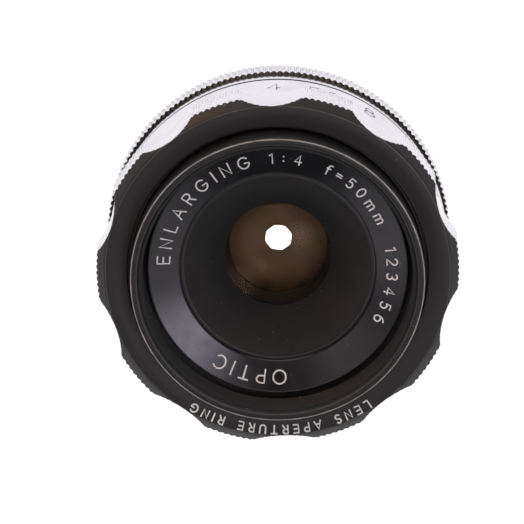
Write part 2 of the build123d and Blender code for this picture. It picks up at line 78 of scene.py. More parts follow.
def turned(outline, edge=0.05, steps=192):
    # closed outline of (radius, height) in mm, spun round the axis, sharp edges rounded
    bm = bmesh.new()
    verts = [bm.verts.new((r, 0, z)) for r, z in outline]
    edges = [bm.edges.new((verts[i - 1], verts[i])) for i in range(len(verts))]
    bmesh.ops.spin(bm, geom=verts + edges, cent=(0, 0, 0), axis=(0, 0, 1),
                   angle=2 * pi, steps=steps, use_merge=True)
    bmesh.ops.remove_doubles(bm, verts=bm.verts, dist=0.0005)
    bmesh.ops.recalc_face_normals(bm, faces=bm.faces)
    roundEdges(bm, edge)
    return bm


def roundEdges(bm, width):
    sharpAngle = radians(24)
    sharp = [e for e in bm.edges if len(e.link_faces) == 2 and e.calc_face_angle(0) > sharpAngle]
    bmesh.ops.bevel(bm, geom=sharp, offset=width, segments=2, profile=0.5, affect="EDGES",
                    material=-1, clamp_overlap=True)
    bm.normal_update()


def finishPiece(bm, name, materials, body, standsFor=(), smooth=32):
    bmesh.ops.remove_doubles(bm, verts=bm.verts, dist=0.0005)
    bmesh.ops.recalc_face_normals(bm, faces=bm.faces)
    bmesh.ops.scale(bm, vec=(mm, mm, mm), verts=bm.verts)
    mesh = bpy.data.meshes.new(name)
    bm.to_mesh(mesh)
    bm.free()
    return finishMesh(mesh, name, materials, body, standsFor, smooth)


def finishMesh(mesh, name, materials, body, standsFor=(), smooth=32):
    mesh.shade_smooth()
    mesh.set_sharp_from_angle(angle=radians(smooth))
    for material in materials:
        mesh.materials.append(material)
    piece = bpy.data.objects.new(name, mesh)
    bpy.context.scene.collection.objects.link(piece)
    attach(piece, body)
    if standsFor:
        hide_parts(*standsFor)
    return piece


def drill(piece, places, radius, depth, mouth=None):
    # cuts round holes at centres with outward directions, in mm, open to the mouth's radius outside
    bm = bmesh.new()
    for centre, outward in places:
        made = bmesh.ops.create_cone(bm, cap_ends=True, segments=48, depth=depth,
                                     radius1=radius, radius2=mouth or radius)
        turn = Vector(outward).to_track_quat("Z", "Y").to_matrix().to_4x4()
        bmesh.ops.transform(bm, matrix=Matrix.Translation(centre) @ turn, verts=made["verts"])
    bmesh.ops.scale(bm, vec=(mm, mm, mm), verts=bm.verts)
    cutterMesh = bpy.data.meshes.new("cutter")
    bm.to_mesh(cutterMesh)
    bm.free()
    cutter = bpy.data.objects.new("cutter", cutterMesh)
    bpy.context.scene.collection.objects.link(cutter)
    cut = piece.modifiers.new("holes", "BOOLEAN")
    cut.object = cutter
    cut.operation = "DIFFERENCE"
    cut.solver = "EXACT"
    bpy.context.view_layer.update()
    graph = bpy.context.evaluated_depsgraph_get()
    drilled = bpy.data.meshes.new_from_object(piece.evaluated_get(graph))
    piece.modifiers.clear()
    piece.data = drilled
    bpy.data.objects.remove(cutter)
    bpy.data.meshes.remove(cutterMesh)


def aroundAxis(azimuths, radius, height):
    # centres and outward directions of radial holes
    return [((radius * cos(radians(a)), radius * sin(radians(a)), height),
             (cos(radians(a)), sin(radians(a)), 0)) for a in azimuths]


def nodeBox(name):
    low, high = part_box(name)
    return low / mm, high / mm


barrelLow, barrelHigh = nodeBox("main_barrel")
ringLow, ringHigh = nodeBox("aperture_ring")
indexLow, indexHigh = nodeBox("index_ring")
mountLow, mountHigh = nodeBox("mount_ring")
nameLow, nameHigh = nodeBox("name_ring")
hoodLow, hoodHigh = nodeBox("front_hood")
rearCellLow, rearCellHigh = nodeBox("rear_cell")
fixedBody = "lens_barrel"
turningBody = "aperture_ring_group"


def middleHeight(name):
    low, high = nodeBox(name)
    return (low.z + high.z) / 2


# materials

def turningMarks(tree, place, pitch, strength, distance):
    # concentric tool marks: noise over the distance from the axis and the height, drawn about
    # twice as coarse as a lathe leaves them so that they show
    flat = addNode(tree, "ShaderNodeSeparateXYZ", links={0: place})
    across = addNode(tree, "ShaderNodeCombineXYZ", links={"X": flat.outputs[0], "Y": flat.outputs[1]})
    radius = addNode(tree, "ShaderNodeVectorMath", links={0: across.outputs[0]}, operation="LENGTH")
    spot = addNode(tree, "ShaderNodeCombineXYZ",
                   links={"X": radius.outputs["Value"], "Y": flat.outputs[2]})
    marks = addNode(tree, "ShaderNodeTexNoise", {"Scale": 1 / (pitch * mm), "Detail": 2.0},
                    {"Vector": spot.outputs[0]})
    return addNode(tree, "ShaderNodeBump", {"Strength": strength, "Distance": distance * mm},
                   {"Height": marks.outputs["Fac"]}).outputs[0]


def blotches(tree, place, size, low, high):
    # slow variation between two values, for handling marks and uneven finish
    cloud = addNode(tree, "ShaderNodeTexNoise", {"Scale": 1 / (size * mm), "Detail": 3.0},
                    {"Vector": place})
    return addNode(tree, "ShaderNodeMapRange", {1: 0.3, 2: 0.7, 3: low, 4: high},
                   {0: cloud.outputs["Fac"]}).outputs[0]


def specks(tree, place, size, share):
    # dust: the few cells of a Voronoi pattern whose random value is high, as small dots
    dotSize = 0.11
    cells = addNode(tree, "ShaderNodeTexVoronoi", {"Scale": 1 / (size * mm)}, {"Vector": place})
    pick = addNode(tree, "ShaderNodeSeparateColor", links={0: cells.outputs["Color"]})
    chosen = addNode(tree, "ShaderNodeMath", {1: 1 - share}, {0: pick.outputs[0]},
                     operation="GREATER_THAN")
    dot = addNode(tree, "ShaderNodeMath", {1: dotSize}, {0: cells.outputs["Distance"]},
                  operation="LESS_THAN")
    return addNode(tree, "ShaderNodeMath", links={0: chosen.outputs[0], 1: dot.outputs[0]},
                   operation="MULTIPLY").outputs[0]


def mixColour(tree, first, second, amount):
    node = addNode(tree, "ShaderNodeMix", {6: first, 7: second}, {0: amount}, data_type="RGBA")
    return node.outputs[2]


def rubbedAndHighlitEdge(tree, place, radius, width, height):
    # 1 on a turned edge at a radius, above a height, uneven along it; all in mm. The lighter colour laid
    # there is rubbed metal and also a painted highlight line
    flat = addNode(tree, "ShaderNodeSeparateXYZ", links={0: place})
    across = addNode(tree, "ShaderNodeCombineXYZ", links={"X": flat.outputs[0], "Y": flat.outputs[1]})
    reach = addNode(tree, "ShaderNodeVectorMath", links={0: across.outputs[0]}, operation="LENGTH")
    on = addNode(tree, "ShaderNodeMath", {1: radius * mm, 2: width * mm},
                 {0: reach.outputs["Value"]}, operation="COMPARE")
    above = addNode(tree, "ShaderNodeMath", {1: height * mm}, {0: flat.outputs[2]},
                    operation="GREATER_THAN")
    both = addNode(tree, "ShaderNodeMath", links={0: on.outputs[0], 1: above.outputs[0]},
                   operation="MULTIPLY")
    return addNode(tree, "ShaderNodeMath", links={0: both.outputs[0], 1: blotches(tree, place, 2, 0.4, 1)},
                   operation="MULTIPLY").outputs[0]


def blackAnodised(name, colour, faded, roughness, bump=0.25, wornAndHighlitEdges=()):
    # black anodised aluminium, turned: soft dark sheen, fine rings, edges painted lighter as rubbed metal
    # and as painted highlight lines, pale dust specks
    material, tree, place = startMaterial(name)
    marks = turningMarks(tree, place, 0.12, bump, 0.01)
    tone = mixColour(tree, hexColour(colour), hexColour(faded), blotches(tree, place, 6, 0.0, 0.5))
    for radius, width, height, edgeColour in wornAndHighlitEdges:
        node = addNode(tree, "ShaderNodeMix", {7: hexColour(edgeColour)},
                       {0: rubbedAndHighlitEdge(tree, place, radius, width, height), 6: tone}, data_type="RGBA")
        tone = node.outputs[2]
    dusty = mixColour(tree, (0, 0, 0, 1), hexColour("#8c8780"), specks(tree, place, 0.55, 0.035))
    added = addNode(tree, "ShaderNodeMix", {0: 1.0}, {6: tone, 7: dusty}, data_type="RGBA",
                    blend_type="ADD")
    shader = addNode(tree, "ShaderNodeBsdfPrincipled", {"Metallic": 0.0, "IOR": 1.5},
                     {"Base Color": added.outputs[2], "Normal": marks,
                      "Roughness": blotches(tree, place, 3, roughness - 0.04, roughness + 0.05)})
    closeMaterial(tree, shader)
    return material


def mattLacquer():
    # matt black baffle lacquer, sprayed: no shine, faint grain, grey dust
    material, tree, place = startMaterial("mattBlackLacquer")
    grain = addNode(tree, "ShaderNodeTexNoise", {"Scale": 1 / (0.09 * mm), "Detail": 2.0},
                    {"Vector": place})
    bump = addNode(tree, "ShaderNodeBump", {"Strength": 0.3, "Distance": 0.02 * mm},
                   {"Height": grain.outputs["Fac"]})
    tone = mixColour(tree, hexColour("#262626"), hexColour("#2e2d2c"), blotches(tree, place, 4, 0, 1))
    dusty = mixColour(tree, (0, 0, 0, 1), hexColour("#6d6a66"), specks(tree, place, 0.6, 0.05))
    added = addNode(tree, "ShaderNodeMix", {0: 1.0}, {6: tone, 7: dusty}, data_type="RGBA",
                    blend_type="ADD")
    shader = addNode(tree, "ShaderNodeBsdfPrincipled", {"Roughness": 0.85, "IOR": 1.45},
                     {"Base Color": added.outputs[2], "Normal": bump.outputs[0]})
    closeMaterial(tree, shader)
    return material


def satinChrome(name, roughness):
    # satin chrome plate on brass: bright, faintly lavender metal with soft turned lines
    material, tree, place = startMaterial(name)
    marks = turningMarks(tree, place, 0.08, 0.2, 0.006)
    tone = mixColour(tree, hexColour("#dedbe3"), hexColour("#d3cfd9"), blotches(tree, place, 5, 0, 1))
    shader = addNode(tree, "ShaderNodeBsdfPrincipled", {"Metallic": 1.0},
                     {"Base Color": tone, "Normal": marks,
                      "Roughness": blotches(tree, place, 1.5, roughness - 0.03, roughness + 0.05)})
    closeMaterial(tree, shader)
    return material


def coatedGlass(name, colour, coating):
    # optical glass with a single-layer coating: clear, amber-tinted, with a coloured gleam
    material, tree, place = startMaterial(name)
    shader = addNode(tree, "ShaderNodeBsdfPrincipled",
                     {"Base Color": hexColour(colour), "Transmission Weight": 1.0,
                      "Roughness": 0.0, "IOR": 1.55,
                      "Specular Tint": hexColour(coating)})
    closeMaterial(tree, shader)
    return material


def enamel(name, colour):
    # enamel paint wiped into engraving: dull, slightly uneven
    material, tree, place = startMaterial(name)
    tone = mixColour(tree, hexColour(colour), hexColour("#a9a59c"), blotches(tree, place, 0.6, 0, 0.15))
    shader = addNode(tree, "ShaderNodeBsdfPrincipled", {"Roughness": 0.55}, {"Base Color": tone})
    closeMaterial(tree, shader)
    return material


def plainMetal(name, colour, roughness):
    # turned brass and steel, and chrome darkened as painted shade: uncoated metal with tool marks and
    # darker tarnish
    material, tree, place = startMaterial(name)
    marks = turningMarks(tree, place, 0.1, 0.3, 0.008)
    tone = mixColour(tree, hexColour(colour), hexColour("#5a5146"), blotches(tree, place, 4, 0, 0.25))
    shader = addNode(tree, "ShaderNodeBsdfPrincipled", {"Metallic": 1.0, "Roughness": roughness},
                     {"Base Color": tone, "Normal": marks})
    closeMaterial(tree, shader)
    return material


def bladeSteel():
    # thin blackened spring steel, dull, in a light brown instead of brown-black: painted light that
    # brightens blades sitting in dim light behind the glass; lightly rubbed where blades slide
    material, tree, place = startMaterial("blackenedSpringSteelPaintedLight")
    tone = mixColour(tree, hexColour("#967a5b"), hexColour("#a2876a"), blotches(tree, place, 2, 0, 1))
    shader = addNode(tree, "ShaderNodeBsdfPrincipled", {"Metallic": 0.2, "Roughness": 0.6},
                     {"Base Color": tone})
    closeMaterial(tree, shader)
    return material


# each lighter edge, rubbed metal and painted highlight line at once, is its radius, half its width, the
# height that it starts at, and its lighter colour
ringWearAndHighlight = [(21.66, 0.05, 17.9, "#5c5753")]
rimWearAndHighlights = [(18.40, 0.09, 22.06, "#b4aea6"), (17.68, 0.03, 22.1, "#5a5652")]
faceBlack = blackAnodised("anodisedRingBlack", "#191615", "#231f1d", 0.42, wornAndHighlitEdges=ringWearAndHighlight)
barrelBlack = blackAnodised("anodisedBarrelBlack", "#0f0f0f", "#171616", 0.38, wornAndHighlitEdges=rimWearAndHighlights)
# darker and rougher copy for the filter recess and its thread: the darker colour is painted shade, the
# roughness is the finish
wellShadeBlack = blackAnodised("anodisedWellBlackPaintedShade", "#0b0b0b", "#121111", 0.62)
nameBlack = blackAnodised("anodisedNameRingBlack", "#151517", "#1c1b1e", 0.22, bump=0.12)
hoodBlack = mattLacquer()
chrome = satinChrome("satinChromePlate", 0.22)
# chrome darkened for the flange faces that look up: painted shade standing for the dark overhead that they
# mirror
chromePaintedShade = plainMetal("chromeEdgePaintedShade", "#45433f", 0.34)
frontGlass = coatedGlass("coatedFrontGlass", "#fffdfa", "#5e4f3e")
innerGlass = coatedGlass("coatedInnerGlass", "#fffdfa", "#5a4c40")
rearGlass = coatedGlass("coatedRearGlass", "#fffefc", "#544e62")
whiteEnamel = enamel("whiteEnamelFill", "#fdfbf6")
greyEnamel = enamel("greyEnamelFill", "#6d6a70")
brass = plainMetal("turnedBrass", "#b58a4a", 0.32)
steel = plainMetal("turnedSteel", "#a9a8ab", 0.28)
blades = bladeSteel()
print("materials ready:", len(bpy.data.materials))


# aperture ring: scale band, scalloped grip with straight knurling, black front

grip = {
    "scaleRadius": 21.5, "scaleFront": 12.87, "scallops": 10, "scallopFirst": -88.0,
    "scallopDepth": 1.12, "cutterRadius": 10.7, "teethPerLobe": 8, "lobeWidth": 16.0,
    "knurlDepth": 0.16, "crest": 0.2, "chamferHeight": 0.95, "faceRadius": 21.7,
    "faceBore": 18.9, "lip": 1.35, "steps": 1080, "edge": 0.06,
    "faceDish": 0.2, "faceFold": 20.3, "faceRound": 0.12, "sleeveBore": 19.9,
    "screwAzimuths": (175, 90, 5), "screwMiddle": 20.9, "screwHole": 0.85, "screwDepth": 3.0,
}
gripRadius = ringHigh.x
cutterDistance = gripRadius - grip["scallopDepth"] + grip["cutterRadius"]


def scallopRadius(azimuth):
    # distance from the axis to the scalloped outline, and degrees from the scallop's middle
    spacing = 360 / grip["scallops"]
    off = (azimuth - grip["scallopFirst"] + spacing / 2) % spacing - spacing / 2
    side = cutterDistance * sin(radians(off))
    if abs(side) >= grip["cutterRadius"]:
        return inf, off
    return cutterDistance * cos(radians(off)) - sqrt(grip["cutterRadius"] ** 2 - side ** 2), off


def knurlCut(position, crest):
    # 0 on a tooth's flat crest and 1 at the bottom of the V between two teeth
    along = abs((position % 1.0) - 0.5) * 2
    return max(0.0, (along - crest) / (1 - crest))


def lobeRadius(azimuth):
    cut, off = scallopRadius(azimuth)
    spacing = 360 / grip["scallops"]
    along = (off % spacing - (spacing - grip["lobeWidth"]) / 2) / grip["lobeWidth"]
    if not 0 <= along <= 1:
        return gripRadius if cut == inf else cut
    tooth = knurlCut(along * grip["teethPerLobe"], grip["crest"])
    return min(cut, gripRadius - grip["knurlDepth"] * tooth)


def ringStack(levels, steps):
    # circle extruded level by level and closed on itself; a level is a height and a radius function
    bm = bmesh.new()
    made = bmesh.ops.create_circle(bm, cap_ends=False, segments=steps, radius=1.0)
    loop = made["verts"]
    for number, (height, radiusAt) in enumerate(levels):
        if number:
            edges = [e for e in bm.edges if e.verts[0] in loopSet and e.verts[1] in loopSet]
            made = bmesh.ops.extrude_edge_only(bm, edges=edges)
            loop = [v for v in made["geom"] if isinstance(v, bmesh.types.BMVert)]
        loopSet = set(loop)
        for vert in loop:
            azimuth = degrees(atan2(vert.co.y, vert.co.x))
            radius = radiusAt(azimuth)
            vert.co = (radius * cos(radians(azimuth)), radius * sin(radians(azimuth)), height)
    loops = [e for e in bm.edges if len(e.link_faces) == 1]
    bmesh.ops.bridge_loops(bm, edges=loops)
    bm.normal_update()
    return bm


def steady(radius):
    return lambda azimuth: radius


def capped(limit):
    return lambda azimuth: min(limit, lobeRadius(azimuth))


def makeApertureRing():
    front, rear = ringHigh.z, ringLow.z
    scale, edge = grip["scaleRadius"], grip["edge"]
    chamferLow = front - grip["chamferHeight"]
    run = gripRadius - grip["faceRadius"]
    dish = grip["faceDish"]
    levels = [(front - grip["lip"], steady(grip["faceBore"])),
              (front - dish - 0.1, steady(grip["faceBore"])),
              (front - dish, steady(grip["faceBore"] + 0.1)),
              (front - dish / 2, steady(grip["faceFold"])),
              (front, capped(grip["faceRadius"] - grip["faceRound"])),
              (front - 0.035, capped(grip["faceRadius"]))]
    for share in (0.12, 0.3, 0.5, 0.68, 0.8, 0.9, 1.0):  # closer together towards the knurling
        levels.append((front - grip["chamferHeight"] * share, capped(grip["faceRadius"] + run * share)))
    levels += [(chamferLow - 0.08, lobeRadius), (grip["scaleFront"] + 0.25, lobeRadius),
               (grip["scaleFront"] + 0.05, capped(gripRadius - 0.12)),
               (grip["scaleFront"], capped(gripRadius - 0.2)),
               (grip["scaleFront"], steady(scale)), (rear + edge, steady(scale)),
               (rear, steady(scale - edge)), (rear, steady(grip["sleeveBore"])),
               (front - grip["lip"], steady(grip["sleeveBore"]))]
    bm = ringStack(levels, grip["steps"])
    bmesh.ops.recalc_face_normals(bm, faces=bm.faces)
    for face in bm.faces:
        middle = face.calc_center_median()
        blackFace = face.normal.z > 0.25 and middle.z > chamferLow - 0.05
        inBore = hypot(middle.x, middle.y) < grip["faceBore"] + 0.05
        face.material_index = 1 if blackFace or inBore else 0
    piece = finishPiece(bm, "apertureRingGrip", [chrome, faceBlack], turningBody,
                        ["aperture_ring"], smooth=28)
    holes = aroundAxis(grip["screwAzimuths"], grip["screwMiddle"], middleHeight("aperture_ring_screws"))
    drill(piece, holes, grip["screwHole"], grip["screwDepth"])
    return piece


apertureRing = makeApertureRing()
print("aperture ring:", len(apertureRing.data.polygons), "faces")


# index ring

indexBand = {
    "edge": 0.04, "steps": 288, "screwAzimuths": (30, 90, 150), "screwMiddle": 20.2,
    "screwHole": 0.72, "screwDepth": 6.0, "lineHeight": 1.3, "lineWidth": 0.28,
}


def makeIndexRing():
    bm = turned([(mount["bore"], indexLow.z), (indexHigh.x, indexLow.z), (indexHigh.x, indexHigh.z),
                 (mount["bore"], indexHigh.z)], indexBand["edge"], indexBand["steps"])
    # the front face takes the black anodised finish: painted shade that darkens the gap under the aperture
    # ring
    for face in bm.faces:
        face.material_index = 1 if face.normal.z > 0.8 else 0
    piece = finishPiece(bm, "indexRingBand", [chrome, barrelBlack], fixedBody,
                        ["index_ring"])
    holes = aroundAxis(indexBand["screwAzimuths"], indexBand["screwMiddle"],
                       middleHeight("index_ring_screws"))
    drill(piece, holes, indexBand["screwHole"], indexBand["screwDepth"])


# mount ring: knurled flange, spigot with the mount thread, and the web that its screws go through

mount = {
    "teeth": 173, "stepsPerTooth": 6, "knurlDepth": 0.24, "topCut": 0.12, "crest": 0.25, "step": 0.58,
    "edge": 0.25, "spigotBore": 17.6, "webRear": -0.9, "webFront": 0.6, "webHole": 13.5,
    "bore": 18.47, "threadRoot": 18.87, "threadPitch": 0.977, "threadMajor": 19.5,
    "threadEnd": -0.7, "screwAzimuths": (90, 210, 330), "screwCircle": 15.6, "screwHead": 1.9,
    "screwShank": 0.95, "screwGap": 0.05,
}


def flangeRadius(limit):
    outer = mountHigh.x

    def radiusAt(azimuth):
        tooth = azimuth / 360 * mount["teeth"]
        cut = knurlCut(tooth, mount["crest"])
        return min(limit - mount["topCut"] * cut, outer - mount["knurlDepth"] * cut)
    return radiusAt


def makeMountRing():
    outer, top, edge = mountHigh.x, mountHigh.z, mount["edge"]
    levels = [(mount["webFront"], steady(mount["bore"])), (top, steady(mount["bore"])),
              (top, flangeRadius(outer - mount["step"])),
              (top - edge * 0.5, flangeRadius(outer - mount["step"] / 2)),
              (top - edge, flangeRadius(outer)), (edge, flangeRadius(outer)),
              (edge / 2, flangeRadius(outer - edge / 2)), (0, flangeRadius(outer - edge)),
              (0, steady(mount["threadRoot"])), (mountLow.z, steady(mount["threadRoot"])),
              (mountLow.z, steady(mount["spigotBore"] + 0.15)),
              (mountLow.z + 0.15, steady(mount["spigotBore"])),
              (mount["webRear"], steady(mount["spigotBore"])),
              (mount["webRear"], steady(mount["webHole"])),
              (mount["webFront"], steady(mount["webHole"]))]
    bm = ringStack(levels, mount["teeth"] * mount["stepsPerTooth"])
    bmesh.ops.recalc_face_normals(bm, faces=bm.faces)
    # flange faces that look up take the darkened chrome: painted shade
    for face in bm.faces:
        face.material_index = 1 if face.normal.z > 0.3 and face.calc_center_median().z > 0 else 0
    piece = finishPiece(bm, "mountRingFlange", [chrome, chromePaintedShade], fixedBody,
                        ["mount_ring"], smooth=28)
    # shank holes right through the web, then 45 degree countersinks from its rear
    circle = [centre for centre, outward in aroundAxis(mount["screwAzimuths"], mount["screwCircle"], 0)]
    shank = mount["screwShank"] + mount["screwGap"]
    sunk = mount["screwHead"] - mount["screwShank"]
    sunkMiddle = mount["webRear"] + sunk / 2 - 0.01
    drill(piece, [((x, y, 0), (0, 0, -1)) for x, y, z in circle], shank, 3.0)
    drill(piece, [((x, y, sunkMiddle), (0, 0, -1)) for x, y, z in circle], shank, sunk,
          mount["screwHead"] + mount["screwGap"])


def makeThread(name, material, root, crest, back, pitch, low, high, steps=180):
    # helical V thread between two heights, spun from a zigzag and closed by a plain cylinder behind
    bm = bmesh.new()
    turns = int((high - low) / pitch) + 3
    verts = []
    for number in range(2 * turns + 1):
        radius = root if number % 2 == 0 else crest
        verts.append(bm.verts.new((radius, 0, low - 1.5 * pitch + number * pitch / 2)))
    edges = [bm.edges.new(pair) for pair in zip(verts, verts[1:])]
    bmesh.ops.spin(bm, geom=verts + edges, cent=(0, 0, 0), axis=(0, 0, 1),
                   dvec=(0, 0, pitch / steps), angle=2 * pi, steps=steps, use_merge=False)
    bmesh.ops.remove_doubles(bm, verts=bm.verts, dist=0.002)
    for height, normal in ((low, (0, 0, -1)), (high, (0, 0, 1))):
        bmesh.ops.bisect_plane(bm, geom=bm.verts[:] + bm.edges[:] + bm.faces[:], dist=0.0001,
                               plane_co=(0, 0, height), plane_no=normal, clear_outer=True)
    for height in (low, high):
        rim = [e for e in bm.edges if len(e.link_faces) == 1
               and all(abs(v.co.z - height) < 0.001 for v in e.verts)]
        made = bmesh.ops.extrude_edge_only(bm, edges=rim)
        for vert in [v for v in made["geom"] if isinstance(v, bmesh.types.BMVert)]:
            away = Vector((vert.co.x, vert.co.y)).normalized() * back
            vert.co = (away.x, away.y, height)
    loops = [e for e in bm.edges if len(e.link_faces) == 1]
    bmesh.ops.bridge_loops(bm, edges=loops)
    return finishPiece(bm, name, [material], fixedBody, smooth=25)


makeIndexRing()
makeMountRing()
makeThread("mountScrewThread", chrome, mount["threadRoot"], mount["threadMajor"],
           mount["threadRoot"] - 0.3, mount["threadPitch"], mountLow.z + 0.02, mount["threadEnd"])
print("mount ring and thread ready")


# barrel: rim, filter thread, floor

barrel = {
    "filterBore": 17.25, "leadIn": 0.42, "recess": 17.45, "threadRoot": 17.27,
    "threadCrest": 16.99, "filterPitch": 0.5, "nameFloor": 15.6, "seatTop": 15.9,
    "cellBore": 13.2, "edge": 0.05,
}


def makeBarrel():
    outer, top = barrelHigh.x, barrelHigh.z
    bm = turned([
        (barrel["cellBore"], barrelLow.z), (outer, barrelLow.z), (outer, top),
        (barrel["filterBore"] + barrel["leadIn"], top),
        (barrel["filterBore"] + 0.1, top - barrel["leadIn"]),
        (barrel["filterBore"] + 0.1, nameHigh.z + 0.2), (barrel["recess"] + 0.1, nameHigh.z),
        (barrel["recess"] + 0.1, barrel["seatTop"]), (nameHigh.x + 0.02, barrel["seatTop"]),
        (nameHigh.x + 0.02, barrel["nameFloor"]), (barrel["cellBore"], barrel["nameFloor"]),
    ], barrel["edge"], 256)
    # faces down in the filter recess take the darker copy: painted shade
    for face in bm.faces:
        middle = face.calc_center_median()
        within = hypot(middle.x, middle.y) < barrel["recess"] + 0.2
        face.material_index = 1 if within and middle.z < top - 0.3 else 0
    return finishPiece(bm, "barrelTube", [barrelBlack, wellShadeBlack], fixedBody,
                       ["main_barrel"])


makeBarrel()
makeThread("filterScrewThread", wellShadeBlack, barrel["threadRoot"],
           barrel["threadCrest"], barrel["filterBore"] + 0.12, barrel["filterPitch"],
           nameHigh.z + 0.3, barrelHigh.z - 0.45, 144)


# name ring, hood and cells

inner = {
    "nameBore": 12.3, "nameOuterTop": 17.45, "nameInnerTop": 16.5, "hoodMouth": 11.8,
    "hoodNeck": 12.27, "hoodNose": 6.75, "noseOuter": 7.2, "rearCellEnd": 8.6,
    "rearBore": 6.25, "rearFlange": 13.2, "rearFlangeThickness": 1.4, "rearConeStart": 12.2,
    "rearThread": 9.95, "rearMouth": 5.9, "rearLip": 0.28,
}


def makeNameRing():
    # the two points a little way in from the cone's edges keep its shading flat between them
    slope = (nameHigh.z - inner["nameInnerTop"]) / (nameHigh.x - inner["nameBore"])
    inset = 0.3
    bm = turned([
        (inner["nameBore"], nameLow.z), (nameHigh.x, nameLow.z), (nameHigh.x, nameHigh.z),
        (nameHigh.x - inset, nameHigh.z - inset * slope),
        (inner["nameBore"] + inset, inner["nameInnerTop"] + inset * slope),
        (inner["nameBore"], inner["nameInnerTop"]),
    ], 0.09, 256)
    return finishPiece(bm, "nameRingCone", [nameBlack], fixedBody, ["name_ring"])


def makeHood():
    low, top = hoodLow.z, hoodHigh.z
    bm = turned([
        (inner["hoodNose"], low), (inner["noseOuter"], low), (inner["noseOuter"], low + 0.3),
        (hoodHigh.x, low + 0.6), (hoodHigh.x, nameLow.z), (inner["hoodNeck"], nameLow.z),
        (inner["hoodNeck"], top), (inner["hoodMouth"], top), (inner["hoodMouth"], top - 0.22),
        (inner["hoodMouth"] - 0.3, top - 0.36),
    ], 0.03, 192)
    for face in bm.faces:
        face.material_index = 1 if face.calc_center_median().z > top - 0.1 else 0
    return finishPiece(bm, "frontHoodCone", [hoodBlack, barrelBlack], fixedBody,
                       ["front_hood"])


def makeRearCell():
    low, top = rearCellLow.z, rearCellHigh.z
    flangeRear = mount["webFront"] - inner["rearFlangeThickness"]
    bm = turned([
        (inner["rearMouth"], top), (inner["rearThread"], top), (inner["rearThread"], mount["webFront"]),
        (inner["rearFlange"], mount["webFront"]), (inner["rearFlange"], flangeRear),
        (inner["rearConeStart"], flangeRear), (inner["rearCellEnd"] + 0.6, low + 0.5),
        (inner["rearCellEnd"], low), (inner["rearBore"] + 0.2, low), (inner["rearBore"], low + 0.2),
        (inner["rearBore"], top - inner["rearLip"]), (inner["rearMouth"], top - inner["rearLip"]),
    ], 0.06, 192)
    return finishPiece(bm, "rearCellCone", [barrelBlack], fixedBody, ["rear_cell"])


makeNameRing()
makeHood()
makeRearCell()
print("barrel, name ring, hood and rear cell ready")


# glass, ground to the same curves as the CAD

glass = {
    "front": 7.2, "frontCurve": 16.3, "rear": 6.2, "dishFront": 6.4, "dishRear": 5.75,
    "secondFrontCurve": 28.0, "secondRearCurve": 15.5, "cementCurve": 16.0, "rearCurve": 22.0,
    "cementGap": 0.004, "rings": 20,
}


def sag(curve, radius):
    return curve - sqrt(curve ** 2 - radius ** 2)


def curvedFace(vertex, curve, radius, direction):
    # points from the axis out to the radius; direction 1 rises to the front, -1 falls
    count = glass["rings"]
    return [(radius * i / count, vertex + direction * sag(curve, radius * i / count))
            for i in range(count + 1)]


def ground(name, frontPoints, rearPoints, material, node):
    # lens from its front face and its rear face, both from the axis outwards
    bm = bmesh.new()
    verts = [bm.verts.new((r, 0, z)) for r, z in frontPoints + rearPoints[::-1]]
    edges = [bm.edges.new(pair) for pair in zip(verts, verts[1:])]
    bmesh.ops.spin(bm, geom=verts + edges, cent=(0, 0, 0), axis=(0, 0, 1),
                   angle=2 * pi, steps=128, use_merge=True)
    return finishPiece(bm, name, [material], fixedBody, [node], smooth=40)


def makeGlass():
    low, high = nodeBox("front_element")
    ground("frontGlass", curvedFace(high.z, glass["frontCurve"], glass["front"], -1),
           [(0, low.z), (glass["front"], low.z)], frontGlass, "front_element")
    low, high = nodeBox("second_element")
    frontVertex = high.z - sag(glass["secondFrontCurve"], glass["dishFront"])
    rearVertex = low.z + sag(glass["secondRearCurve"], glass["dishRear"])
    ground("secondGlass",
           curvedFace(frontVertex, glass["secondFrontCurve"], glass["dishFront"], 1)
           + [(glass["front"], high.z)],
           curvedFace(rearVertex, glass["secondRearCurve"], glass["dishRear"], -1)
           + [(glass["front"], low.z)], innerGlass, "second_element")
    low, high = nodeBox("rear_negative_element")
    cement = low.z + sag(glass["cementCurve"], glass["rear"])
    ground("rearNegativeGlass", [(0, high.z), (glass["rear"], high.z)],
           curvedFace(cement + glass["cementGap"], glass["cementCurve"], glass["rear"], -1),
           innerGlass, "rear_negative_element")
    low, high = nodeBox("rear_positive_element")
    ground("rearPositiveGlass", curvedFace(cement, glass["cementCurve"], glass["rear"], -1),
           curvedFace(low.z, glass["rearCurve"], glass["rear"], 1), rearGlass,
           "rear_positive_element")


makeGlass()
print("glass ready")


# engraving: single-stroke letters, cut by a round tool and filled with enamel

def arc(x, y, across, up, start, end, count=12):
    return [(x + across * cos(radians(start + (end - start) * i / count)),
             y + up * sin(radians(start + (end - start) * i / count))) for i in range(count + 1)]


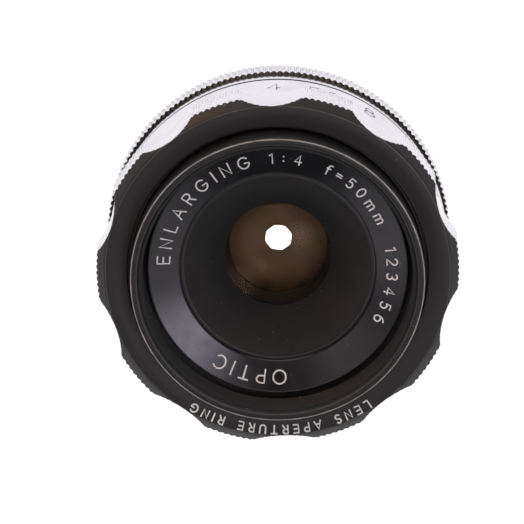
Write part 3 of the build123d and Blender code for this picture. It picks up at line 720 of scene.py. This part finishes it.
# width and strokes of each letter, on a height of 1
letters = {
    "A": (0.76, [[(0, 0), (0.38, 1), (0.76, 0)], [(0.14, 0.36), (0.62, 0.36)]]),
    "C": (0.78, [arc(0.44, 0.5, 0.44, 0.5, 45, 315)]),
    "E": (0.56, [[(0.56, 0), (0, 0), (0, 1), (0.56, 1)], [(0, 0.52), (0.5, 0.52)]]),
    "G": (0.84, [arc(0.44, 0.5, 0.44, 0.5, 45, 340) + [(0.85, 0.46), (0.5, 0.46)]]),
    "I": (0.0, [[(0, 0), (0, 1)]]),
    "L": (0.5, [[(0, 1), (0, 0), (0.5, 0)]]),
    "N": (0.68, [[(0, 0), (0, 1), (0.68, 0), (0.68, 1)]]),
    "O": (0.92, [arc(0.46, 0.5, 0.46, 0.5, 90, 450, 24)]),
    "P": (0.56, [[(0, 0), (0, 1), (0.3, 1)] + arc(0.3, 0.74, 0.26, 0.26, 90, -90) + [(0, 0.48)]]),
    "R": (0.6, [[(0, 0), (0, 1), (0.3, 1)] + arc(0.3, 0.74, 0.26, 0.26, 90, -90) + [(0, 0.48)],
                [(0.3, 0.48), (0.6, 0)]]),
    "S": (0.56, [arc(0.28, 0.75, 0.26, 0.25, 40, 260) + arc(0.28, 0.25, 0.28, 0.25, 80, -140)]),
    "T": (0.64, [[(0, 1), (0.64, 1)], [(0.32, 1), (0.32, 0)]]),
    "U": (0.66, [[(0, 1)] + arc(0.33, 0.33, 0.33, 0.33, 180, 360) + [(0.66, 1)]]),
    "f": (0.36, [[(0.12, 0)] + arc(0.34, 0.78, 0.22, 0.22, 180, 70), [(0, 0.62), (0.34, 0.62)]]),
    "m": (0.84, [[(0, 0), (0, 0.64)], arc(0.21, 0.43, 0.21, 0.21, 180, 0) + [(0.42, 0)],
                 arc(0.63, 0.43, 0.21, 0.21, 180, 0) + [(0.84, 0)]]),
    "=": (0.5, [[(0, 0.36), (0.5, 0.36)], [(0, 0.6), (0.5, 0.6)]]),
    ":": (0.0, [[(0, 0.22), (0, 0.24)], [(0, 0.7), (0, 0.72)]]),
    ".": (0.0, [[(0, 0.0), (0, 0.02)]]),
    "0": (0.6, [arc(0.3, 0.5, 0.3, 0.5, 90, 450, 24)]),
    "1": (0.22, [[(0, 0.82), (0.22, 1), (0.22, 0)]]),
    "2": (0.58, [arc(0.29, 0.71, 0.28, 0.29, 165, -40) + [(0, 0), (0.58, 0)]]),
    "3": (0.56, [arc(0.27, 0.75, 0.25, 0.25, 145, -90) + arc(0.27, 0.26, 0.29, 0.26, 90, -145)]),
    "4": (0.62, [[(0.46, 0), (0.46, 1), (0, 0.3), (0.62, 0.3)]]),
    "5": (0.56, [[(0.5, 1), (0.1, 1), (0.05, 0.56)] + arc(0.27, 0.32, 0.29, 0.32, 120, -140)]),
    "6": (0.58, [arc(0.62, 0.42, 0.62, 0.6, 112, 178, 8) + arc(0.29, 0.3, 0.29, 0.3, 180, 540, 20)]),
    "8": (0.58, [arc(0.29, 0.76, 0.23, 0.24, -90, 270, 20), arc(0.29, 0.26, 0.29, 0.26, 90, 450, 20)]),
    "|": (0.0, [[(0, 0), (0, 1)]]),
    " ": (0.42, []),
}


def strokeMesh(strokes, width, depth):
    # round-ended tubes along flat strokes, in mm
    curve = bpy.data.curves.new("stroke", "CURVE")
    curve.dimensions = "3D"
    curve.bevel_depth = width / 2
    curve.bevel_resolution = 3
    curve.use_fill_caps = True
    tips = ((1.0, 0.08), (0.72, 0.7), (0.35, 0.94))  # reach and size of each ring of a round end
    for points in strokes:
        flat = [Vector((x, y, depth)) for x, y in points]
        closed = (flat[0] - flat[-1]).length < 0.01
        rows = [(p, 1.0) for p in flat]
        if not closed:
            back = (flat[0] - flat[1]).normalized() * width / 2
            ahead = (flat[-1] - flat[-2]).normalized() * width / 2
            rows = ([(flat[0] + back * reach, size) for reach, size in tips] + rows
                    + [(flat[-1] + ahead * reach, size) for reach, size in tips[::-1]])
        spline = curve.splines.new("POLY")
        spline.points.add(len(rows) - 1 - closed)
        spline.use_cyclic_u = closed
        for point, (place, size) in zip(spline.points, rows):
            point.co = (*place, 1.0)
            point.radius = size
    holder = bpy.data.objects.new("stroke", curve)
    mesh = bpy.data.meshes.new_from_object(holder)
    bpy.data.objects.remove(holder)
    bpy.data.curves.remove(curve)
    return mesh


def layOut(text, height, length):
    # strokes of a line of text, spread evenly over its length and centred on 0
    widths = [letters[c][0] * height for c in text]
    gap = (length - sum(widths)) / max(1, len(text) - 1)
    x = -length / 2 if len(text) > 1 else -widths[0] / 2
    strokes = []
    for character, wide in zip(text, widths):
        for stroke in letters[character][1]:
            strokes.append([(x + px * height, (py - 0.5) * height) for px, py in stroke])
        x += wide + gap
    return strokes


def engrave(name, text, height, length, width, surface, material, body):
    # text on a curved face, in mm: surface turns along, up and out into a place on the object
    proud, buried = 0.012, -0.06
    mesh = strokeMesh(layOut(text, height, length), width, -width * 0.12)
    bm = bmesh.new()
    bm.from_mesh(mesh)
    bpy.data.meshes.remove(mesh)
    for vert in bm.verts:
        out = max(buried, min(proud, vert.co.z))
        vert.co = surface(vert.co.x, vert.co.y, out)
    return finishPiece(bm, name, [material], body, smooth=45)


def frontFace(azimuth, middle, height, slope):
    # face seen from the front; azimuth runs clockwise from -Y, letter tops point outwards
    def surface(along, up, out):
        turn = radians(azimuth) + along / middle
        radius = middle + up * cos(slope) - out * sin(slope)
        return (-radius * sin(turn), -radius * cos(turn), height + up * sin(slope) + out * cos(slope))
    return surface


def sideFace(azimuth, radius, height):
    # cylinder seen from outside; letter tops point to the rear
    def surface(along, up, out):
        turn = radians(azimuth) + along / radius
        return (-(radius + out) * sin(turn), -(radius + out) * cos(turn), height - up)
    return surface


# a name ring line is its text, azimuth, span in degrees and height
nameSlope = atan2(inner["nameOuterTop"] - inner["nameInnerTop"], nameHigh.x - inner["nameBore"])
nameText = {
    "middle": 14.42, "stroke": 0.24,
    "lines": [("ENLARGING", 308.8, 73.0, 1.6), ("1:4", 4.0, 15.8, 1.36), ("f=50mm", 45.2, 40.0, 1.36),
              ("123456", 99.3, 40.0, 1.36), ("OPTIC", 194.5, 37.0, 1.74)],
}
ringText = {"middle": 20.92, "height": 1.06, "stroke": 0.25, "azimuth": 179.0, "span": 65.0}
scaleText = {
    "height": 2.5, "stroke": 0.28, "middle": 9.1, "first": -1.5, "step": 17.0,
    "stops": [("4", 0), ("5.6", 3.9), ("8", 0), ("11", 1.9), ("16", 2.6)],
}


def makeLettering():
    middle = nameText["middle"]
    share = (middle - inner["nameBore"]) / (nameHigh.x - inner["nameBore"])
    level = inner["nameInnerTop"] + share * (inner["nameOuterTop"] - inner["nameInnerTop"])
    for number, (text, azimuth, span, height) in enumerate(nameText["lines"]):
        engrave(f"nameLettering{number + 1}", text, height, radians(span) * middle,
                nameText["stroke"], frontFace(azimuth, middle, level, nameSlope), whiteEnamel,
                fixedBody)
    # the ring's face falls away towards its bore, and the lettering follows it
    outerEdge = grip["faceRadius"] - grip["faceRound"]
    faceSlope = atan2(grip["faceDish"] / 2, outerEdge - grip["faceFold"])
    level = ringHigh.z - (outerEdge - ringText["middle"]) * tan(faceSlope)
    engrave("ringFaceLettering", "LENS APERTURE RING", ringText["height"],
            radians(ringText["span"]) * ringText["middle"], ringText["stroke"],
            frontFace(ringText["azimuth"], ringText["middle"], level, faceSlope), whiteEnamel,
            turningBody)
    for number, (text, length) in enumerate(scaleText["stops"]):
        azimuth = scaleText["first"] + number * scaleText["step"]
        engrave(f"apertureNumber{number + 1}", text, scaleText["height"], length,
                scaleText["stroke"], sideFace(azimuth, grip["scaleRadius"], scaleText["middle"]),
                greyEnamel, turningBody)
    lastStop = scaleText["first"] + (len(scaleText["stops"]) - 1) * scaleText["step"]
    engrave("indexLine", "|", indexBand["lineHeight"], 0, indexBand["lineWidth"],
            sideFace(lastStop, indexHigh.x, (indexLow.z + indexHigh.z) / 2), greyEnamel,
            fixedBody)


makeLettering()
print("lettering ready")


# what stays as it is in the CAD gets its finish

finishes = {
    "aperture_sleeve": barrelBlack, "iris_housing": brass, "iris_rotor": brass,
    "iris_retaining_ring": brass, "element_spacer": hoodBlack, "front_cell": hoodBlack,
    "rear_retaining_ring": barrelBlack, "mount_ring_screws": steel, "index_ring_screws": steel,
    "aperture_ring_screws": steel, "drive_screw": steel, "click_ball": steel, "click_spring": steel,
}
for number in range(8):
    finishes[f"iris_blade_{number + 1}"] = blades
for node, material in finishes.items():
    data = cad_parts[node].data
    data.materials.clear()
    data.materials.append(material)


# floor, light and camera

# a patch of light is its direction, the degrees where it ends and is full, its power and colour
stage = {
    "floorSize": 3.0, "glow": 1.0, "paintedPoolGlow": 1.8, "paintedPoolRadius": 17.0, "paintedPoolFade": 3.0,
    "whiteBelow": 0.30, "darkAbove": 0.62, "overhead": (0.045, 0.042, 0.042, 1),
    "patches": [((-0.335, 0.010, 0.942), 12.0, 2.0, 7.0, "#f0e6fa"),
                ((0.40, 0.41, 0.82), 18.0, 6.0, 1.3, "#f3eef8"),
                ((-0.40, 0.41, 0.82), 18.0, 6.0, 1.1, "#f3eef8"),
                ((0.284, -0.037, 0.957), 12.0, 3.0, 1.2, "#f3eef0"),
                ((0.0, 0.12, 0.99), 11.0, 3.0, 1.4, "#fff3ea"),
                ((0.05, -0.60, 0.80), 24.0, 6.0, 1.7, "#fff3ea"),
                ((0.58, -0.70, 0.42), 10.0, 3.0, 6.0, "#ff9d63")],
}


def makeFloor():
    # pale matt acrylic, glowing evenly like a light table, and more brightly in a disc under the lens: a
    # painted pool of light
    bm = bmesh.new()
    bmesh.ops.create_grid(bm, x_segments=1, y_segments=1, size=stage["floorSize"] / 2)
    bmesh.ops.translate(bm, vec=(0, 0, (mountLow.z - 0.02) * mm), verts=bm.verts)
    mesh = bpy.data.meshes.new("floor")
    bm.to_mesh(mesh)
    bm.free()
    floor = bpy.data.objects.new("floor", mesh)
    bpy.context.scene.collection.objects.link(floor)
    material, tree, place = startMaterial("lightTableAcrylicPaintedPool")
    across = addNode(tree, "ShaderNodeVectorMath", links={0: place}, operation="LENGTH")
    # within this radius of the axis the floor glows brighter: a painted pool of light under the lens
    glowAndPaintedPool = addNode(tree, "ShaderNodeMapRange",
                  {1: stage["paintedPoolRadius"] * mm, 2: (stage["paintedPoolRadius"] + stage["paintedPoolFade"]) * mm,
                   3: stage["paintedPoolGlow"], 4: stage["glow"]}, {0: across.outputs["Value"]})
    shader = addNode(tree, "ShaderNodeBsdfPrincipled",
                     {"Base Color": hexColour("#616161"), "Roughness": 0.6,
                      "Emission Color": (1, 1, 1, 1)}, {"Emission Strength": glowAndPaintedPool.outputs[0]})
    closeMaterial(tree, shader)
    mesh.materials.append(material)


def makeWorld():
    # white tent round the sides, dark overhead except for soft patches of light
    world = bpy.data.worlds.new("tent")
    bpy.context.scene.world = world
    world.use_nodes = True
    tree = world.node_tree
    tree.nodes.clear()
    way = addNode(tree, "ShaderNodeTexCoord").outputs["Generated"]
    height = addNode(tree, "ShaderNodeSeparateXYZ", links={0: way}).outputs[2]
    ramp = addNode(tree, "ShaderNodeValToRGB", links={0: height})
    ramp.color_ramp.elements[0].position = stage["whiteBelow"]
    ramp.color_ramp.elements[0].color = (1.0, 1.0, 1.0, 1)
    ramp.color_ramp.elements[1].position = stage["darkAbove"]
    ramp.color_ramp.elements[1].color = stage["overhead"]
    light = ramp.outputs[0]
    for direction, outer, inner, power, colour in stage["patches"]:
        nearness = addNode(tree, "ShaderNodeVectorMath", {1: Vector(direction).normalized()}, {0: way},
                           operation="DOT_PRODUCT")
        glow = addNode(tree, "ShaderNodeMapRange",
                       {1: cos(radians(outer)), 2: cos(radians(inner)), 3: 0.0, 4: power},
                       {0: nearness.outputs["Value"]}, interpolation_type="SMOOTHSTEP")
        tinted = addNode(tree, "ShaderNodeVectorMath", {0: hexColour(colour)[:3]}, operation="SCALE",
                         links={"Scale": glow.outputs[0]})
        light = addNode(tree, "ShaderNodeVectorMath", links={0: light, 1: tinted.outputs[0]},
                        operation="ADD").outputs[0]
    shine = addNode(tree, "ShaderNodeBackground", {"Strength": 1.0}, {"Color": light})
    addNode(tree, "ShaderNodeOutputWorld", links={"Surface": shine.outputs[0]})


# angles in degrees, distance in metres, shifts of the aim in mm
view = {
    "tilt": 72.5, "turn": -1.75, "roll": 1.75, "distance": 0.8, "sensor": 36, "imageWidth": 524,
    "focusInImage": 6400, "shiftLeft": 1.94, "shiftUp": 2.355,
}


def makeCamera():
    # long lens from above the front, from the side of the aperture numbers
    tilt, turn, roll = radians(view["tilt"]), radians(view["turn"]), radians(view["roll"])
    rimCentre = Vector((0, 0, barrelHigh.z * mm))
    toward = Vector((sin(turn) * cos(tilt), -cos(turn) * cos(tilt), sin(tilt)))
    up = Vector((sin(turn) * sin(tilt), -cos(turn) * sin(tilt), -cos(tilt)))
    right = up.cross(toward)
    up, right = up * cos(roll) - right * sin(roll), right * cos(roll) + up * sin(roll)
    aim = rimCentre - right * view["shiftLeft"] * mm + up * view["shiftUp"] * mm
    camera = bpy.data.cameras.new("camera")
    camera.sensor_width = view["sensor"]
    camera.lens = view["focusInImage"] / view["imageWidth"] * view["sensor"]
    holder = bpy.data.objects.new("camera", camera)
    holder.matrix_world = Matrix.Translation(aim + toward * view["distance"]) @ Matrix((
        (right.x, up.x, toward.x, 0), (right.y, up.y, toward.y, 0), (right.z, up.z, toward.z, 0),
        (0, 0, 0, 1)))
    bpy.context.scene.collection.objects.link(holder)
    bpy.context.scene.camera = holder


makeFloor()
makeWorld()
makeCamera()
bpy.context.scene.view_settings.view_transform = "Standard"
print("floor, light and camera ready")
